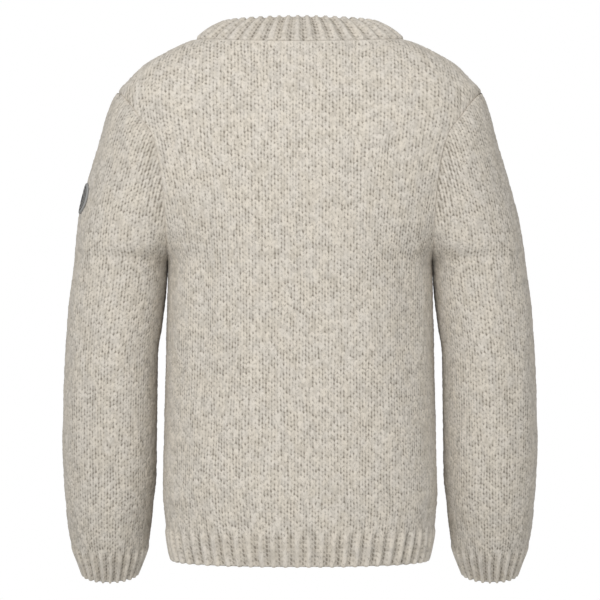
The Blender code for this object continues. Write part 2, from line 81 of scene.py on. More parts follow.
# Front and back. Sections from the hem up: half width, depth behind, depth in front.
body = dict(
    power=2.3,
    hem=-0.675, ribTop=-0.629, ribFade=0.010,
    armpit=-0.290, shoulder=-0.069, neck=0.0,
    wales=30,               # on each side of the middle line, at the side seam
    spareWales=4,           # outside them, where the cloth widens to the shoulder
    courses=128,            # more than reach the shoulder
    fan=0.030,              # how far the outer wales lean out along the armhole
    fanFrom=-0.250, fanOver=0.19,
    sections=(
        (-0.675, 0.1655, 0.1062, 0.1037), (-0.663, 0.1690, 0.1090, 0.1065),
        (-0.644, 0.1723, 0.1130, 0.1105), (-0.624, 0.1745, 0.1160, 0.1135),
        (-0.585, 0.1775, 0.1195, 0.1175), (-0.546, 0.1768, 0.1205, 0.1200),
        (-0.468, 0.1745, 0.1200, 0.1225), (-0.390, 0.1730, 0.1195, 0.1235),
        (-0.340, 0.1720, 0.1200, 0.1240), (-0.290, 0.1710, 0.1215, 0.1235),
        (-0.265, 0.1845, 0.1225, 0.1220), (-0.237, 0.2015, 0.1230, 0.1195),
        (-0.200, 0.2175, 0.1225, 0.1150), (-0.165, 0.2260, 0.1200, 0.1085),
        (-0.124, 0.2325, 0.1130, 0.0970), (-0.101, 0.2350, 0.1070, 0.0900),
        (-0.069, 0.2350, 0.0970, 0.0810), (-0.052, 0.2212, 0.0905, 0.0755),
        (-0.036, 0.2052, 0.0850, 0.0705), (-0.020, 0.1797, 0.0785, 0.0655),
        (-0.005, 0.1485, 0.0712, 0.0613), (0.000, 0.1340, 0.0690, 0.0600),
    ),
    # armhole seam from the armpit up: how far out it lies, how much the sleeve swells
    armhole=(
        (-0.290, 0.1710, 0.0710), (-0.265, 0.1710, 0.0550), (-0.237, 0.1715, 0.0345),
        (-0.200, 0.1735, 0.0175), (-0.165, 0.1783, 0.0110), (-0.124, 0.1896, 0.0080),
        (-0.101, 0.2076, 0.0060), (-0.085, 0.2190, 0.0040), (-0.069, 0.2350, 0.0000),
    ),
    # soft upright folds: place across, top, bottom, depth, width
    folds=dict(
        back=((0.124, -0.170, -0.560, 0.0050, 0.019), (-0.148, -0.215, -0.510, 0.0040, 0.022)),
        front=((0.138, -0.230, -0.590, 0.0045, 0.021), (-0.120, -0.185, -0.520, 0.0040, 0.020)),
    ),
)

sideSign = dict(back=1.0, front=-1.0)
arcSteps = 241              # points along each section
slopeStep = 0.0005          # slopes are measured over this height
chance = np.random.default_rng(5).random((96, 251))     # one seeded number to every arm of a stitch


def smoothCurve(rows, column):
    # a curve over height through one column of a table, without overshoot
    rows = sorted(rows)
    at = np.array([row[0] for row in rows])
    value = np.array([row[column] for row in rows])
    step = np.diff(at)
    slope = np.diff(value) / step
    turning = slope[:-1] * slope[1:]
    total = np.where(turning > 0, slope[:-1] + slope[1:], 1.0)
    tangent = np.concatenate([slope[:1], np.where(turning > 0, 2 * turning / total, 0.0), slope[-1:]])

    def read(z):
        z = np.clip(z, at[0], at[-1])
        i = np.clip(np.searchsorted(at, z) - 1, 0, len(step) - 1)
        t = (z - at[i]) / step[i]
        start = value[i] * (1 + 2 * t) + tangent[i] * step[i] * t
        end = value[i + 1] * (3 - 2 * t) - tangent[i + 1] * step[i] * (1 - t)
        return start * (1 - t) ** 2 + end * t**2

    return read


def unit(vectors):
    return vectors / np.maximum(np.linalg.norm(vectors, axis=-1, keepdims=True), 1e-12)


def stack(*parts):
    return np.stack(np.broadcast_arrays(*parts), axis=-1)


def mix(first, second, share):
    return first * (1 - share) + second * share


def bell(distance, width):
    return np.exp(-((distance / width) ** 2))


def smoothStep(value):
    value = np.clip(value, 0.0, 1.0)
    return value * value * (3 - 2 * value)


def pathLength(points):
    steps = np.linalg.norm(np.diff(points, axis=-2), axis=-1)
    start = np.zeros(steps.shape[:-1] + (1,))
    return np.concatenate([start, np.cumsum(steps, axis=-1)], axis=-1)


def evenPoints(curve, count):
    length = pathLength(curve)
    even = np.linspace(0.0, length[-1], count)
    return stack(*(np.interp(even, length, curve[:, i]) for i in range(3)))


def chanceAt(i, j):
    return chance[np.mod(i, chance.shape[0]).astype(int), np.mod(j, chance.shape[1]).astype(int)]


def wander(u, v, pattern):
    # seeded unevenness from -1 to 1 that changes smoothly over wales and courses
    perWale, perCourse, startU, startV = pattern
    x, y = u * perWale + startU, v * perCourse + startV
    i, j = np.floor(x), np.floor(y)
    a, b = smoothStep(x - i), smoothStep(y - j)
    low, high = (mix(chanceAt(i, row), chanceAt(i + 1, row), a) for row in (j, j + 1))
    return 2 * mix(low, high, b) - 1


def skinTable(heights, x, y):
    # sections at even heights, each with points evenly spaced along it
    length = pathLength(stack(x, y))
    share = np.linspace(0.0, 1.0, arcSteps)

    def evenly(rows):
        return np.array([np.interp(share * l[-1], l, row) for l, row in zip(length, rows)])

    return dict(heights=heights, x=evenly(x), y=evenly(y), length=length[:, -1])


def readSkin(skin, across, z):
    heights = skin["heights"]
    row = np.clip((z - heights[0]) / (heights[1] - heights[0]), 0, len(heights) - 1.001)
    share = np.clip(np.abs(across) / np.maximum(np.interp(z, heights, skin["length"]), 1e-6), 0, 1)
    column = np.clip(share * (arcSteps - 1), 0, arcSteps - 1.001)
    i, j = row.astype(int), column.astype(int)
    a, b = row - i, column - j
    return [mix(mix(table[i, j], table[i, j + 1], b), mix(table[i + 1, j], table[i + 1, j + 1], b), a)
            for table in (skin["x"], skin["y"])]


bodyWidth = smoothCurve(body["sections"], 1)
bodyDepth = dict(back=smoothCurve(body["sections"], 2), front=smoothCurve(body["sections"], 3))
armholeX = smoothCurve(body["armhole"], 1)
capSwell = smoothCurve(body["armhole"], 2)
bodyHeights = np.linspace(body["hem"], body["neck"], 700)


def makeBodySkin(side):
    turn = np.linspace(0.0, np.pi / 2, arcSteps)
    x = bodyWidth(bodyHeights)[:, None] * np.sin(turn) ** (2 / body["power"])
    y = bodyDepth[side](bodyHeights)[:, None] * np.abs(np.cos(turn)) ** (2 / body["power"])
    skin = skinTable(bodyHeights, x, y)
    share = np.linspace(0.0, 1.0, arcSteps)
    cut = np.array([np.interp(at, row, share) for at, row in zip(armholeX(bodyHeights), skin["x"])])
    inArmhole = (bodyHeights > body["armpit"]) & (bodyHeights < body["shoulder"])
    skin["reach"] = np.where(inArmhole, cut * skin["length"], skin["length"])
    return skin


bodySkin = {side: makeBodySkin(side) for side in sideSign}


def bodyY(side, x, z):
    # how deep the front or back lies at a distance from the middle
    share = np.minimum(np.abs(x) / bodyWidth(z), 1.0)
    return bodyDepth[side](z) * (1 - share ** body["power"]) ** (1 / body["power"])


def bodyNormal(side, x, y, z):
    def implicit(level):
        wide, deep = np.abs(x) / bodyWidth(level), np.abs(y) / bodyDepth[side](level)
        return wide ** body["power"] + deep ** body["power"]

    above, below = np.minimum(z + slopeStep, body["neck"]), z - slopeStep
    slope = (implicit(above) - implicit(below)) / (above - below) / body["power"]
    bend = body["power"] - 1
    wide, deep = bodyWidth(z), bodyDepth[side](z)
    return unit(stack(
        np.sign(x) * (np.abs(x) / wide) ** bend / wide,
        sideSign[side] * (np.abs(y) / deep) ** bend / deep,
        slope,
    ))


# Sleeves: outer line, then inner line and half depth below the armpit
sleeve = dict(
    cuff=-0.697, ribTop=-0.653,
    wales=24,               # on each side of the outer line, at the armpit
    courses=118,            # more than reach the crown
    elbow=-0.400, bend=0.454,
    nearArmpit=0.0005,      # up to this far above the armpit the side seam is closed
    outer=(
        (-0.697, 0.2845), (-0.682, 0.2900), (-0.663, 0.2966), (-0.643, 0.3013),
        (-0.604, 0.3056), (-0.565, 0.3080), (-0.526, 0.3086), (-0.468, 0.3070),
        (-0.409, 0.3040), (-0.351, 0.3005), (-0.290, 0.2925), (-0.234, 0.2870),
        (-0.195, 0.2785), (-0.156, 0.2670), (-0.117, 0.2560), (-0.091, 0.2475),
        (-0.075, 0.2405), (-0.069, 0.2350),
    ),
    forearm=(
        (-0.697, 0.2145, 0.0355), (-0.682, 0.2080, 0.0405), (-0.663, 0.2008, 0.0465),
        (-0.643, 0.1965, 0.0510), (-0.604, 0.1920, 0.0565), (-0.565, 0.1877, 0.0595),
        (-0.468, 0.1860, 0.0610), (-0.409, 0.1850, 0.0630), (-0.370, 0.1795, 0.0650),
        (-0.330, 0.1745, 0.0677), (-0.290, 0.1713, 0.0710),
    ),
)
sleeveOuter = smoothCurve(sleeve["outer"], 1)
forearmInner = smoothCurve(sleeve["forearm"], 1)
forearmDepth = smoothCurve(sleeve["forearm"], 2)
sleeveHeights = np.linspace(sleeve["cuff"], body["shoulder"], 640)


def seamDepth(side, z):
    return bodyY(side, armholeX(z), z)


def sleeveEllipse(side, z):
    # centre, half width, half depth, and the angle where the section stops
    outer, inner = sleeveOuter(z), forearmInner(z)
    depth, swell, seam = seamDepth(side, z), capSwell(z), armholeX(z)
    halfDepth = np.maximum(np.hypot(depth, swell), 1e-5)
    past = np.minimum(swell / halfDepth, 1.0)
    centre = (seam + past * outer) / (1 + past)
    arm = z <= body["armpit"]
    return (
        np.where(arm, (outer + inner) / 2, centre),
        np.where(arm, (outer - inner) / 2, np.maximum(outer - centre, 1e-5)),
        np.where(arm, forearmDepth(z), halfDepth),
        np.where(arm, np.pi, np.arccos(-past)),
    )


def makeSleeveSkin(side):
    centre, halfWidth, halfDepth, stop = sleeveEllipse(side, sleeveHeights)
    turn = stop[:, None] * np.linspace(0.0, 1.0, arcSteps)
    x = centre[:, None] + halfWidth[:, None] * np.cos(turn)
    y = halfDepth[:, None] * np.sin(turn)
    return skinTable(sleeveHeights, x, y)


sleeveSkin = {side: makeSleeveSkin(side) for side in sideSign}


def sleeveNormal(side, x, y, z):
    z = np.minimum(z, body["shoulder"] - 4 * slopeStep)

    def implicit(level):
        centre, halfWidth, halfDepth, _ = sleeveEllipse(side, level)
        return ((x - centre) / halfWidth) ** 2 + (y / halfDepth) ** 2

    centre, halfWidth, halfDepth, _ = sleeveEllipse(side, z)
    slope = (implicit(z + slopeStep) - implicit(z - slopeStep)) / (2 * slopeStep)
    return unit(stack(2 * (x - centre) / halfWidth**2, 2 * y / halfDepth**2, slope))


def sleeveReach(side, z):
    return np.interp(z, sleeveHeights, sleeveSkin[side]["length"])


def readSleeve(across, z):
    # across is counted from the outer line, above 0 round the back and below 0 round the front
    back = across >= 0
    (xBack, yBack), (xFront, yFront) = (readSkin(sleeveSkin[side], across, z) for side in ("back", "front"))
    return np.where(back, xBack, xFront), np.where(back, yBack, -yFront)


def onSleeve(across, z):
    x, y = readSleeve(across, z)
    back = (across >= 0)[..., None]
    return stack(x, y, z), np.where(back, sleeveNormal("back", x, y, z), sleeveNormal("front", x, y, z))


def bendForward(points, normals):
    # the forearm swings forward below the elbow
    below = np.maximum(sleeve["elbow"] - points[..., 2], 0.0)
    angle = np.arctan(2 * sleeve["bend"] * below)
    cos, sin = np.cos(angle), np.sin(angle)
    bent = points.copy()
    bent[..., 1] = points[..., 1] * cos - sleeve["bend"] * below**2
    bent[..., 2] = points[..., 2] - points[..., 1] * sin
    turned = normals.copy()
    turned[..., 1] = normals[..., 1] * cos + normals[..., 2] * sin
    turned[..., 2] = normals[..., 2] * cos - normals[..., 1] * sin
    return bent, turned


seamShape = dict(
    leanOver=0.009,         # the walls turn into the seam over this distance
    leanPoints=13, foldBelow=1.6, foldDown=0.5,     # where the walls face each other it tips down
    groove=0.0004, grooveWidth=0.0055, neckGroove=0.5, sleeveGroove=0.35,
    flatOver=0.0030,        # stitches flatten into the seam over this distance
    seamTone=0.64,
    roll=0.0030,            # the free edges are rounded over this distance
)


def seamLean(side):
    # the direction in which both walls of the armhole seam point, from the armpit up
    turn = np.linspace(0.0, np.pi, 1200)
    heights = mix(body["armpit"], body["shoulder"], (1 - np.cos(turn)) / 2)
    curve = stack(armholeX(heights), sideSign[side] * seamDepth(side, heights), heights)
    x, y, z = evenPoints(curve, seamShape["leanPoints"]).T
    both = bodyNormal(side, x, y, z) + sleeveNormal(side, x, y, z)
    folded = np.maximum(seamShape["foldBelow"] - np.linalg.norm(both, axis=-1), 0.0)
    lean = unit(both - np.outer(folded, (0.0, 0.0, seamShape["foldDown"])))
    lean[0] = (0.0, 0.0, -1.0)
    lean[-1] = unit(lean[-1] * (1.0, 0.0, 1.0))
    return z, lean


leanTable = {side: seamLean(side) for side in sideSign}


def leanAt(side, z):
    heights, lean = leanTable[side]
    return unit(stack(*(np.interp(z, heights, lean[:, i]) for i in range(3))))


def grooveAt(distance):
    return seamShape["groove"] * bell(distance, seamShape["grooveWidth"])


def foldDepth(side, across, z):
    depth = np.zeros_like(z)
    for place, top, bottom, deep, width in body["folds"][side]:
        share = np.clip((top - z) / (top - bottom), 0.0, 1.0)
        depth += deep * np.sin(np.pi * share) ** 2 * bell(across - place, width)
    return depth


# Neckband: one ring of rib between the neckline and its free edge
neckband = dict(
    halfWidth=0.134, drop=dict(back=0.008, front=0.088), rounding=1.35,
    topHalfWidth=0.100, topDepth=dict(back=0.050, front=0.070),
    topZ=0.022, topRise=dict(back=0.003, front=-0.070),
    bulge=0.003, flatSides=0.9,     # it bulges between seam and edge, hardly so at the sides
    wall=0.0050,
    ribs=40, courses=8,
)


def neckline(side, turn):
    # the neckband's seam on the front or back: turn is 0 at its left end, half pi in its middle
    x = neckband["halfWidth"] * np.cos(turn)
    z = -neckband["drop"][side] * np.sin(turn) ** neckband["rounding"]
    return x, bodyY(side, x, z), z


def stitchHeight(u, v, rib):
    # height of the cloth: the arms of the stitches, and a hole wherever four arms meet
    line, course = np.rint(2 * u), np.rint(v)
    between = np.cos(np.pi * (2 * u - line)) ** 2         # 1 on a line of holes, 0 on the arms
    hole = np.cos(np.pi * (v - course)) ** 2
    depth = mix(stitch["holeLeast"], 1.0, chanceAt(line, course))
    arm = 1.0 - stitch["armUneven"] * chanceAt(np.floor(2 * u) + 7, np.floor(v)) - stitch["armDip"] * hole
    sunk = stitch["lineDepth"] + stitch["holeDepth"] * depth * mix(stitch["holeSpread"], 1.0, hole)
    plain = arm - between * sunk
    shifted = v + 0.5 * (line % 2)                        # the loops of the purl lie in zigzags
    pit = np.cos(np.pi * shifted) ** 2 * mix(stitch["pitLeast"], 1.0, chanceAt(line + 3, np.rint(shifted)))
    purl = stitch["purlHeight"] - stitch["pitDepth"] * pit * mix(stitch["pitSpread"], 1.0, between)
    onKnit = 0.5 + 0.5 * np.cos(np.pi * (u - 0.5))        # 1 on a knit rib, 0 on the purl beside it
    smooth = stitch["ribHeight"] - stitch["ribLine"] * between * (1 + depth * hole)
    return mix(plain, mix(purl, smooth, onKnit), rib), onKnit


def clothRelief(u, v, rib, free):
    height, onKnit = stitchHeight(u, v, rib)
    lift = rib * (knit["ribLift"] * onKnit**1.2 - knit["ribSink"] * (1 - onKnit))
    uneven = free * knit["thickThin"] * wander(u, v, knit["thickWander"])
    # the shade tone: lower in the holes and in the purl, for the wool to paint shade there
    shadeTone = height - knit["purlShade"] * rib * (1 - onKnit)
    return knit["puff"] * (height - knit["wallHeight"]) + lift + uneven, shadeTone


def widenPurl(u):
    return knit["ribWiden"] * np.sin(np.pi * (u - 0.5)) / np.pi


def trimRows(fields, reach, middle):
    # every row stops on the seam: places beyond it close up onto the crossing
    across, z = fields["across"], fields["z"]
    room = reach(across, z) - np.abs(across)
    rows, columns = across.shape

    def closeUp(row, cells, inside, beyond):
        low, high = 0.0, 1.0                              # halving finds the seam even where it's steep
        for _ in range(16):
            t = (low + high) / 2
            a, level = (mix(values[row, inside], values[row, beyond], t) for values in (across, z))
            low, high = (t, high) if reach(a, level) > abs(a) else (low, t)
        for values in fields.values():
            values[row, list(cells)] = mix(values[row, inside], values[row, beyond], t)

    for row in range(rows):
        for step, end in ((1, columns), (-1, -1)):
            first = next((c for c in range(middle, end, step) if room[row, c] > 0), None)
            if first is None:                             # this half of the row is past the top
                for values in fields.values():
                    values[row, list(range(middle, end, step))] = values[row, middle]
                continue
            if first != middle:
                closeUp(row, range(middle + step, first, step), first, first - step)
            last = next((c for c in range(first + step, end, step) if room[row, c] < 0), None)
            if last is not None:
                closeUp(row, range(last, end, step), last - step, last)


def trimColumns(fields, limit):
    # every column stops on the neckline
    room = limit(fields["across"]) - fields["z"]
    for column in range(room.shape[1]):
        over = np.nonzero(room[:, column] < 0)[0]
        if len(over) == 0 or over[0] == 0:
            continue
        last, inside = over[0], over[0] - 1
        t = room[inside, column] / (room[inside, column] - room[last, column])
        for values in fields.values():
            values[last:, column] = mix(values[inside, column], values[last, column], t)


def layStitches(form, halfWales, heights, outside, placeAcross, pointAt):
    # places of a grid of stitches: courses are counted along each wale from the free edge
    perWale, perCourse = (knit["waleColumns"], knit["courseRows"]) if outside else (1, 1)
    wales = np.arange(2 * halfWales * perWale + 1) / perWale - halfWales
    rows = np.arange(form["courses"] * perCourse + 1) / perCourse
    rows = np.concatenate([knit["edgeRows"], rows[1:]])
    z = np.broadcast_to(heights, (len(wales), len(heights)))
    length = pathLength(pointAt(placeAcross(wales[:, None], z), z))
    arm = np.abs(2 * (wales - np.floor(wales)) - 1)
    courses = rows[:, None] + 0 * wales
    inner = smoothStep((wales[-1] - np.abs(wales)) / knit["calmWales"])
    free = outside * inner * smoothStep(courses / knit["calmCourses"])
    lifted = courses + outside * knit["chevron"] * arm * smoothStep(courses / knit["chevronFull"])
    lifted = lifted + free * knit["courseDrift"] * wander(wales, courses, knit["courseWander"])
    level = stack(*(np.interp(lifted[:, column] * knit["course"], length[column], heights)
                    for column in range(len(wales))))
    rib = 1 - smoothStep((level - form["ribTop"]) / body["ribFade"] + 1)
    drift = free * (1 - knit["ribCalm"] * rib) * knit["waleDrift"]
    spread = wales + inner * rib * widenPurl(wales) + drift * wander(wales, courses, knit["waleWander"])
    across = placeAcross(spread, level)
    return dict(across=across, z=level, u=wales + 0 * courses, v=courses, rib=rib, free=free)


def gridMesh(points, u, v, shadeTone, bakeArea):
    # a grid of faces laid on rows and columns of points, with its stitch and bake maps
    rows, columns = shadeTone.shape
    grid = bmesh.new()
    bmesh.ops.create_grid(grid, x_segments=columns - 1, y_segments=rows - 1, size=0.5)
    mesh = bpy.data.meshes.new("cloth")
    grid.to_mesh(mesh)
    mesh.vertices.foreach_set("co", points.reshape(-1).astype(np.float32))
    corner = np.empty(len(mesh.loops), dtype=np.int32)
    mesh.loops.foreach_get("vertex_index", corner)
    u, v = (np.broadcast_to(values, shadeTone.shape).ravel() for values in (u, v))
    left, bottom, width, height = bakeArea
    bakeU = left + width * (u - u.min()) / (u.max() - u.min())
    bakeV = bottom + height * (v - v.min()) / (v.max() - v.min())
    for mapName, across, up in (("knit", u, v), ("OFBake", bakeU, bakeV)):
        layer = mesh.uv_layers.new(name=mapName)
        layer.data.foreach_set("uv", stack(across, up)[corner].reshape(-1).astype(np.float32))
    # the shade tone goes on the points, for the wool to paint shade into the holes
    layer = mesh.attributes.new("shadeTone", "FLOAT", "POINT")
    layer.data.foreach_set("value", shadeTone.ravel().astype(np.float32))
    grid.clear()
    grid.from_mesh(mesh)
    bpy.data.meshes.remove(mesh)
    mergeEnds(grid)
    return grid


def mergeEnds(mesh, distance=2e-5):
    bmesh.ops.remove_doubles(mesh, verts=mesh.verts[:], dist=distance)
    loose = [edge for edge in mesh.edges if not edge.link_faces]
    bmesh.ops.delete(mesh, geom=loose, context="EDGES")
    bmesh.ops.delete(mesh, geom=[v for v in mesh.verts if not v.link_faces], context="VERTS")


def edgesOf(edges):
    links = {}
    for edge in edges:
        for vert in edge.verts:
            links.setdefault(vert, []).append(edge)
    return links


def connected(edges, point):
    # the loop of edges that passes nearest to a point
    start = min(edges, key=lambda edge: (edge.verts[0].co - Vector(point)).length)
    links = edgesOf(edges)
    found, queue = {start}, [start]
    while queue:
        for vert in queue.pop().verts:
            for edge in links[vert]:
                if edge not in found:
                    found.add(edge)
                    queue.append(edge)
    return found


def rimChains(rim, cornerPoints):
    # the open edge of one side of the cloth, cut into chains at the given corners
    links = edgesOf(rim)
    corners = [min(links, key=lambda vert: (vert.co - Vector(point)).length) for point in cornerPoints]
    chains = {}
    for index, start in enumerate(corners):
        for edge in links[start]:
            chain, vert = [start], start
            for _ in links:
                vert = edge.other_vert(vert)
                chain.append(vert)
                if vert in corners:
                    break
                edge = next(other for other in links[vert] if other is not edge)
            if corners.index(vert) > index:
                chains[(index, corners.index(vert))] = chain
    return chains


def joinSides(outer, inner, outerCorners, innerCorners, bakeBands):
    # puts the two sides of the cloth in one mesh and closes the edges between them
    both = bmesh.new()
    scratch = bpy.data.meshes.new("scratch")
    for side in (outer, inner):
        side.to_mesh(scratch)
        both.from_mesh(scratch)
        scratch.clear_geometry()
    both.verts.ensure_lookup_table()
    outerCount = len(outer.verts)
    isOuter = {vert: index < outerCount for index, vert in enumerate(both.verts)}
    outer.free()
    inner.free()
    bpy.data.meshes.remove(scratch)

    knitMap, bakeMap = both.loops.layers.uv["knit"], both.loops.layers.uv["OFBake"]
    rims = [edge for edge in both.edges if edge.is_boundary]
    low, bandWidth = bakeBands
    for outerLoop, innerLoop in zip(outerCorners, innerCorners):
        chains = []
        for points, wanted in ((outerLoop, True), (innerLoop, False)):
            mine = [edge for edge in rims if isOuter[edge.verts[0]] == wanted]
            chains.append(rimChains(connected(mine, points[0]), points))
        for ends in chains[0]:
            ways = [chain[ends] for chain in chains]
            share = {vert: k / (len(way) - 1) for way in ways for k, vert in enumerate(way)}
            stitchAt = {vert: vert.link_loops[0][knitMap].uv.copy() for vert in share}
            edges = [both.edges.get(pair) for way in ways for pair in zip(way, way[1:])]
            for face in bmesh.ops.bridge_loops(both, edges=edges)["faces"]:
                face.smooth = True
                for loop in face.loops:
                    loop[knitMap].uv = stitchAt[loop.vert]
                    band = low if isOuter[loop.vert] else low + 0.8 * bandWidth
                    loop[bakeMap].uv = (band, mix(0.01, 0.99, share[loop.vert]))
            low += bandWidth
    return both


def makeCloth(name, bakeBands, lay):
    # one knitted piece: lay gives the places of its stitched outer side and its plain inner side
    sides = []
    for sideName in ("outside", "inside"):
        fields, points, shadeTone, corners = lay(sideName == "outside")
        mesh = gridMesh(points, fields["u"], fields["v"], shadeTone, knit["bakeArea"][sideName])
        sides.append((mesh, corners))
        print(f"{name} {sideName} laid: {len(mesh.faces)} faces")
    (outer, outerCorners), (inner, innerCorners) = sides
    return joinSides(outer, inner, outerCorners, innerCorners, bakeBands)


def addObject(name, data):
    thing = bpy.data.objects.new(name, data)
    bpy.context.collection.objects.link(thing)
    return thing


def finishPiece(name, mesh, material, node):
    bmesh.ops.recalc_face_normals(mesh, faces=mesh.faces[:])
    openEdges = sum(1 for edge in mesh.edges if len(edge.link_faces) != 2)
    data = bpy.data.meshes.new(name)
    mesh.to_mesh(data)
    mesh.free()
    data.shade_smooth()
    data.materials.append(material)
    piece = addObject(name, data)
    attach(piece, "root")
    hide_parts(node)
    triangles = sum(len(face.vertices) - 2 for face in data.polygons)
    print(f"{name}: {triangles} triangles, {openEdges} open edges")
    return piece


# The wool's look. A noise is its stretch, scale, detail and roughness.
wool = dict(
    light=(0.665, 0.615, 0.546), middle=(0.503, 0.463, 0.406), dark=(0.175, 0.152, 0.120),
    warm=(1.007, 1.000, 0.978), cool=(0.992, 0.998, 1.004),
    plies=3.0, plySlant=2.2, plyHeight=0.30,        # the twist of the plies in each course
    toneSeed=3.0,
    marl=((1.5, 0.55, 1.0), 1.0, 2.0, 0.6),         # lighter and darker yarn, over the stitches
    fleck=((1.9, 1.3, 1.0), 1.35, 2.0, 0.65),       # flecks of dark fibre, over the stitches
    fibre=((1.0, 1.0, 0.55), 750.0, 2.0, 0.7),      # single fibres
    patchy=((1.0, 1.0, 1.0), 34.0, 3.0, 0.6),
    hue=((1.0, 1.0, 0.6), 60.0, 2.0, 0.6), hueRange=(0.35, 0.65),
    marlShare=0.90, fibreShare=0.55, toneShare=0.35, patchyShare=0.55,
    blendRange=(0.78, 1.42),
    fleckPatches=0.25, fleckRange=(0.68, 0.82),
    fleckDark=0.42,         # how much darker the flecks are
    holeRange=(0.66, 0.06),
    holeShade=0.80,          # and how much painted shade darkens the holes between stitches
    bump=0.55, bumpDepth=0.0006, roughness=0.95, specular=0.15,
    sheen=0.10, sheenRoughness=0.55, sheenTint=(0.95, 0.92, 0.86),
)


def feed(tree, node, values):
    # links or sets inputs by name or number; a colour is given without its alpha
    for label, value in values.items():
        socket = node.inputs[label]
        if isinstance(value, bpy.types.NodeSocket):
            tree.links.new(value, socket)
        else:
            socket.default_value = (*value, 1.0) if socket.type == "RGBA" else value


def addNode(tree, kind, values):
    node = tree.nodes.new(kind)
    feed(tree, node, values)
    return node


def addMath(tree, operation, *values):
    node = tree.nodes.new("ShaderNodeMath")
    node.operation = operation
    feed(tree, node, dict(enumerate(values)))
    return node.outputs[0]


def addMix(tree, factor, first, second, blend="MIX"):
    node = tree.nodes.new("ShaderNodeMix")
    node.data_type, node.blend_type = "RGBA", blend
    feed(tree, node, {0: factor, 6: first, 7: second})
    return node.outputs[2]


def addNoise(tree, vector, noise):
    stretch, scale, detail, roughness = noise
    stretched = addNode(tree, "ShaderNodeMapping", dict(Vector=vector, Scale=stretch)).outputs[0]
    values = dict(Vector=stretched, Scale=scale, Detail=detail, Roughness=roughness)
    return addNode(tree, "ShaderNodeTexNoise", values).outputs["Fac"]


def addRamp(tree, value, low, high, most=1.0):
    node = tree.nodes.new("ShaderNodeMapRange")
    node.interpolation_type = "SMOOTHSTEP"
    feed(tree, node, {0: value, 1: low, 2: high, 4: most})
    return node.outputs[0]


def makeGroup(name, inputs, outputs):
    group = bpy.data.node_groups.new(name, "ShaderNodeTree")
    for way, sockets in (("INPUT", inputs), ("OUTPUT", outputs)):
        for label, kind in sockets.items():
            group.interface.new_socket(label, in_out=way, socket_type=f"NodeSocket{kind}")
    return group, group.nodes.new("NodeGroupInput").outputs, group.nodes.new("NodeGroupOutput")


def makeYarnGroup():
    # the yarn of single stitches: a tone for each arm of a stitch, and the twist of its plies
    tree, given, end = makeGroup("yarnStitches", dict(Stitch="Vector"), dict(Tone="Float", Twist="Float"))
    split = addNode(tree, "ShaderNodeSeparateXYZ", {0: given["Stitch"]})
    arms, courses = addMath(tree, "MULTIPLY", split.outputs[0], 2.0), split.outputs[1]
    arm, course = (addMath(tree, "FLOOR", place) for place in (arms, courses))
    cell = addNode(tree, "ShaderNodeCombineXYZ", {0: arm, 1: course, 2: wool["toneSeed"]})
    number = addNode(tree, "ShaderNodeTexWhiteNoise", dict(Vector=cell.outputs[0]))
    slant = addMath(tree, "MULTIPLY", addMath(tree, "PINGPONG", arms, 1.0), wool["plySlant"])
    turns = addMath(tree, "MULTIPLY_ADD", courses, wool["plies"], slant)
    twist = addMath(tree, "SINE", addMath(tree, "MULTIPLY", turns, 2 * math.pi))
    feed(tree, end, dict(Tone=number.outputs["Value"], Twist=twist))
    return tree


def makeHeatherGroup():
    # heathered wool: colour of the blended fibres with painted shade in the holes between stitches, and the
    # height of hairs and twist
    tree, given, end = makeGroup(
        "heatheredWool",
        dict(Stitch="Vector", Place="Vector", Tone="Float", Light="Color", Middle="Color", Dark="Color"),
        dict(Color="Color", Height="Float"),
    )
    yarn = tree.nodes.new("ShaderNodeGroup")
    yarn.node_tree = makeYarnGroup()
    feed(tree, yarn, dict(Stitch=given["Stitch"]))
    marl, fleck = (addNoise(tree, given["Stitch"], wool[name]) for name in ("marl", "fleck"))
    fibre, patchy, hue = (addNoise(tree, given["Place"], wool[name]) for name in ("fibre", "patchy", "hue"))
    blend = addMath(tree, "MULTIPLY", marl, wool["marlShare"])
    rest = ((fibre, "fibreShare"), (yarn.outputs["Tone"], "toneShare"), (patchy, "patchyShare"))
    for part, share in rest:
        blend = addMath(tree, "MULTIPLY_ADD", part, wool[share], blend)
    color = addMix(tree, addRamp(tree, blend, *wool["blendRange"]), given["Middle"], given["Light"])
    tint = addMix(tree, addRamp(tree, hue, *wool["hueRange"]), wool["cool"], wool["warm"])
    color = addMix(tree, 1.0, color, tint, "MULTIPLY")
    fleck = addMath(tree, "MULTIPLY_ADD", patchy, wool["fleckPatches"], fleck)
    color = addMix(tree, addRamp(tree, fleck, *wool["fleckRange"], wool["fleckDark"]), color, given["Dark"])
    # painted shade: the lower the shade tone, the darker the holes between stitches
    deep = addRamp(tree, given["Tone"], *wool["holeRange"], wool["holeShade"])
    height = addMath(tree, "MULTIPLY_ADD", yarn.outputs["Twist"], wool["plyHeight"], fibre)
    feed(tree, end, dict(Color=addMix(tree, deep, color, given["Dark"]), Height=height))
    return tree


def newMaterial(name):
    material = bpy.data.materials.new(name)
    material.use_nodes = True
    return material, material.node_tree


def setSurface(tree, look, color, height):
    values = dict(Strength=look["bump"], Distance=look["bumpDepth"], Height=height)
    bump = addNode(tree, "ShaderNodeBump", values)
    feed(tree, tree.nodes["Principled BSDF"], {
        "Base Color": color, "Normal": bump.outputs["Normal"],
        "Roughness": look["roughness"], "Specular IOR Level": look["specular"],
    })


